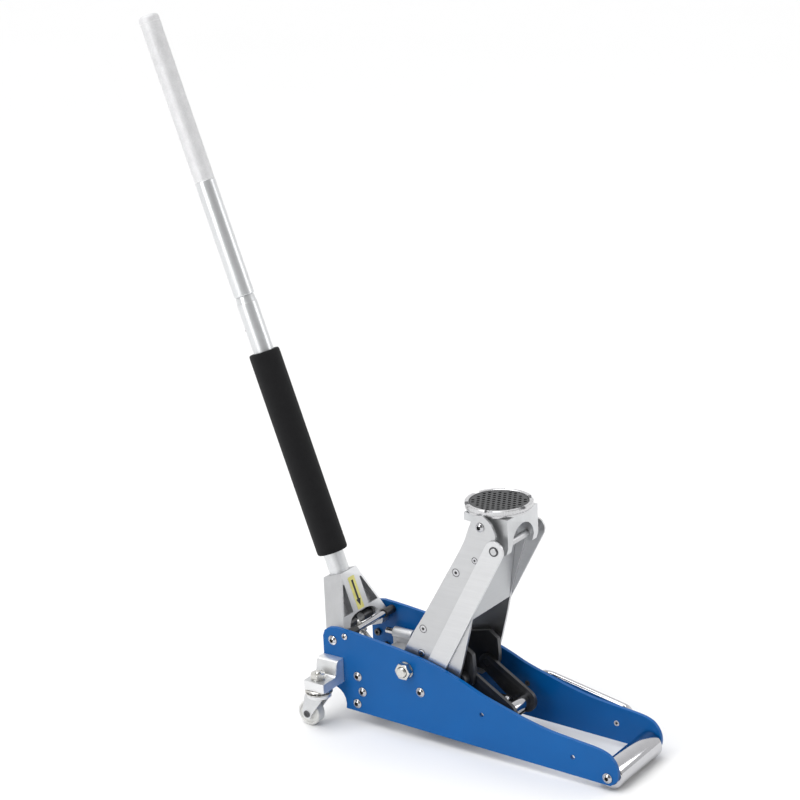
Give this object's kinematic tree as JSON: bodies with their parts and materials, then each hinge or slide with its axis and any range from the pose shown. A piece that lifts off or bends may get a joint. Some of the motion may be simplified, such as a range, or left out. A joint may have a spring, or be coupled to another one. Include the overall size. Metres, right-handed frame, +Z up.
{
  "type": "hydraulic floor jack",
  "caption": "Low wheeled hydraulic jack: two side plates, front roller, rear swivel casters, parallel lift arm with turning padded saddle, and an upright two-piece handle with foam sleeve.",
  "frame": {"origin": "middle of the bounding box at ground level", "axes": "+X towards the front roller, +Y to the left side plate, +Z up"},
  "size_m": [0.8744, 0.254, 1.0866],
  "materials": {
    "blue": "blue paint, semi-gloss",
    "aluminium": "brushed, satin",
    "cast": "as cast, fine grain",
    "chrome": "bright plated",
    "zinc": "zinc plated",
    "dark_iron": "black, as cast",
    "foam": "closed-cell foam, matt",
    "rubber": "moulded, dimpled",
    "silver": "silver powder coat",
    "wheel": "pale, moulded"
  },
  "bodies": {
    "chassis": {"side_plate_right": "blue", "side_plate_left": "blue", "front_axle": "zinc", "handle_stop_bar": "chrome", "stop_bar_sleeve_right": "dark_iron", "stop_bar_sleeve_left": "dark_iron", "main_pivot_shaft": "zinc", "main_pivot_nut_right": "zinc", "main_pivot_nut_left": "zinc", "power_unit_block": "cast", "ram_cylinder": "dark_iron", "cylinder_gland_nut": "zinc", "carry_handle": "chrome", "power_unit_screw_upper_right": "chrome", "power_unit_screw_middle_right": "chrome", "power_unit_screw_lower_right": "chrome", "link_pivot_screw_right": "chrome", "handle_pivot_screw_right": "chrome", "caster_bracket_right": "silver", "bracket_screw_upper_right": "dark_iron", "bracket_screw_lower_right": "dark_iron", "swivel_bolt_right": "zinc", "power_unit_screw_upper_left": "chrome", "power_unit_screw_middle_left": "chrome", "power_unit_screw_lower_left": "chrome", "link_pivot_screw_left": "chrome", "handle_pivot_screw_left": "chrome", "caster_bracket_left": "silver", "bracket_screw_upper_left": "dark_iron", "bracket_screw_lower_left": "dark_iron", "swivel_bolt_left": "zinc"},
    "front_roller": {"front_roller": "chrome"},
    "lift_arm": {"arm_plate_right": "aluminium", "arm_plate_left": "aluminium", "arm_web": "aluminium", "arm_crank": "dark_iron", "arm_head_pin": "chrome"},
    "parallel_link_left": {"link_bar_left": "aluminium"},
    "saddle_carrier": {"saddle_bracket": "aluminium", "link_head_pin": "zinc"},
    "saddle": {"saddle_cup": "aluminium", "saddle_pad": "rubber"},
    "ram_yoke": {"ram_yoke": "dark_iron", "yoke_cross_pin": "chrome"},
    "ram": {"ram_piston": "chrome"},
    "handle_socket": {"handle_socket": "cast"},
    "lower_handle": {"lower_handle": "silver", "foam_sleeve": "foam"},
    "upper_handle": {"upper_handle": "silver"},
    "release_rod": {"release_rod": "zinc"},
    "pump_plunger": {"pump_plunger": "chrome"},
    "parallel_link_right": {"link_bar_right": "aluminium"},
    "caster_right": {"swivel_race_right": "zinc", "caster_fork_right": "silver", "caster_axle_right": "zinc"},
    "caster_wheel_right": {"caster_wheel_right": "wheel"},
    "caster_left": {"swivel_race_left": "zinc", "caster_fork_left": "silver", "caster_axle_left": "zinc"},
    "caster_wheel_left": {"caster_wheel_left": "wheel"}
  },
  "joints": [
    {"name": "front_roller_spin", "type": "hinge", "parent": "chassis", "child": "front_roller", "pos_m": [0.41651, 0, 0.0207], "axis": [0, 1, 0], "continuous": true},
    {"name": "lift_arm_hinge", "type": "hinge", "parent": "chassis", "child": "lift_arm", "pos_m": [0.06381, 0, 0.113], "axis": [0, -1, 0], "range_deg": [-71, 0]},
    {"name": "link_right_hinge", "type": "hinge", "parent": "chassis", "child": "parallel_link_right", "pos_m": [0.0893, 0, 0.081], "axis": [0, -1, 0], "range_deg": [-71, 0]},
    {"name": "link_left_hinge", "type": "hinge", "parent": "chassis", "child": "parallel_link_left", "pos_m": [0.0893, 0, 0.081], "axis": [0, -1, 0], "range_deg": [-71, 0]},
    {"name": "saddle_carrier_hinge", "type": "hinge", "parent": "lift_arm", "child": "saddle_carrier", "pos_m": [0.20034, 0, 0.36658], "axis": [0, -1, 0], "range_deg": [0, 71]},
    {"name": "saddle_swivel", "type": "hinge", "parent": "saddle_carrier", "child": "saddle", "pos_m": [0.19881, 0, 0.392], "axis": [0, 0, 1], "continuous": true},
    {"name": "yoke_hinge", "type": "hinge", "parent": "lift_arm", "child": "ram_yoke", "pos_m": [0.14969, 0, 0.1085], "axis": [0, -1, 0], "range_deg": [0, 127]},
    {"name": "ram_slide", "type": "slide", "parent": "chassis", "child": "ram", "axis": [1, 0, 0], "range_m": [-0.0525, 0]},
    {"name": "handle_hinge", "type": "hinge", "parent": "chassis", "child": "handle_socket", "pos_m": [-0.0754, 0, 0.132], "axis": [0, -1, 0], "range_deg": [0, 68]},
    {"name": "handle_twist", "type": "hinge", "parent": "handle_socket", "child": "lower_handle", "pos_m": [-0.0754, 0, 0.132], "axis": [-0.3437, 0, 0.9391], "range_deg": [0, 90]},
    {"name": "upper_handle_slide", "type": "slide", "parent": "lower_handle", "child": "upper_handle", "axis": [-0.3437, 0, 0.9391], "range_m": [0, 0.085]},
    {"name": "release_rod_twist", "type": "hinge", "parent": "chassis", "child": "release_rod", "pos_m": [-0.0754, 0, 0.132], "axis": [-0.7407, 0, 0.6719], "range_deg": [0, 90]},
    {"name": "pump_plunger_slide", "type": "slide", "parent": "chassis", "child": "pump_plunger", "axis": [1, 0, 0], "range_m": [0, 0.0105]},
    {"name": "caster_swivel_right", "type": "hinge", "parent": "chassis", "child": "caster_right", "pos_m": [-0.0792, -0.105, 0.06], "axis": [0, 0, 1], "continuous": true},
    {"name": "caster_wheel_spin_right", "type": "hinge", "parent": "caster_right", "child": "caster_wheel_right", "pos_m": [-0.0962, -0.105, 0.0205], "axis": [0, 1, 0], "continuous": true},
    {"name": "caster_swivel_left", "type": "hinge", "parent": "chassis", "child": "caster_left", "pos_m": [-0.0792, 0.105, 0.06], "axis": [0, 0, 1], "continuous": true},
    {"name": "caster_wheel_spin_left", "type": "hinge", "parent": "caster_left", "child": "caster_wheel_left", "pos_m": [-0.0962, 0.105, 0.0205], "axis": [0, 1, 0], "continuous": true}
  ],
  "couplings": [
    {"joint": "link_right_hinge", "follows": "lift_arm_hinge", "ratio": 1},
    {"joint": "link_left_hinge", "follows": "lift_arm_hinge", "ratio": 1},
    {"joint": "saddle_carrier_hinge", "follows": "lift_arm_hinge", "ratio": -1},
    {"joint": "yoke_hinge", "follows": "lift_arm_hinge", "ratio": -1.7835},
    {"joint": "ram_slide", "follows": "lift_arm_hinge", "m_per_rad": 0.04216},
    {"joint": "release_rod_twist", "follows": "handle_twist", "ratio": 1},
    {"joint": "pump_plunger_slide", "follows": "handle_hinge", "m_per_rad": 0.00876}
  ]
}
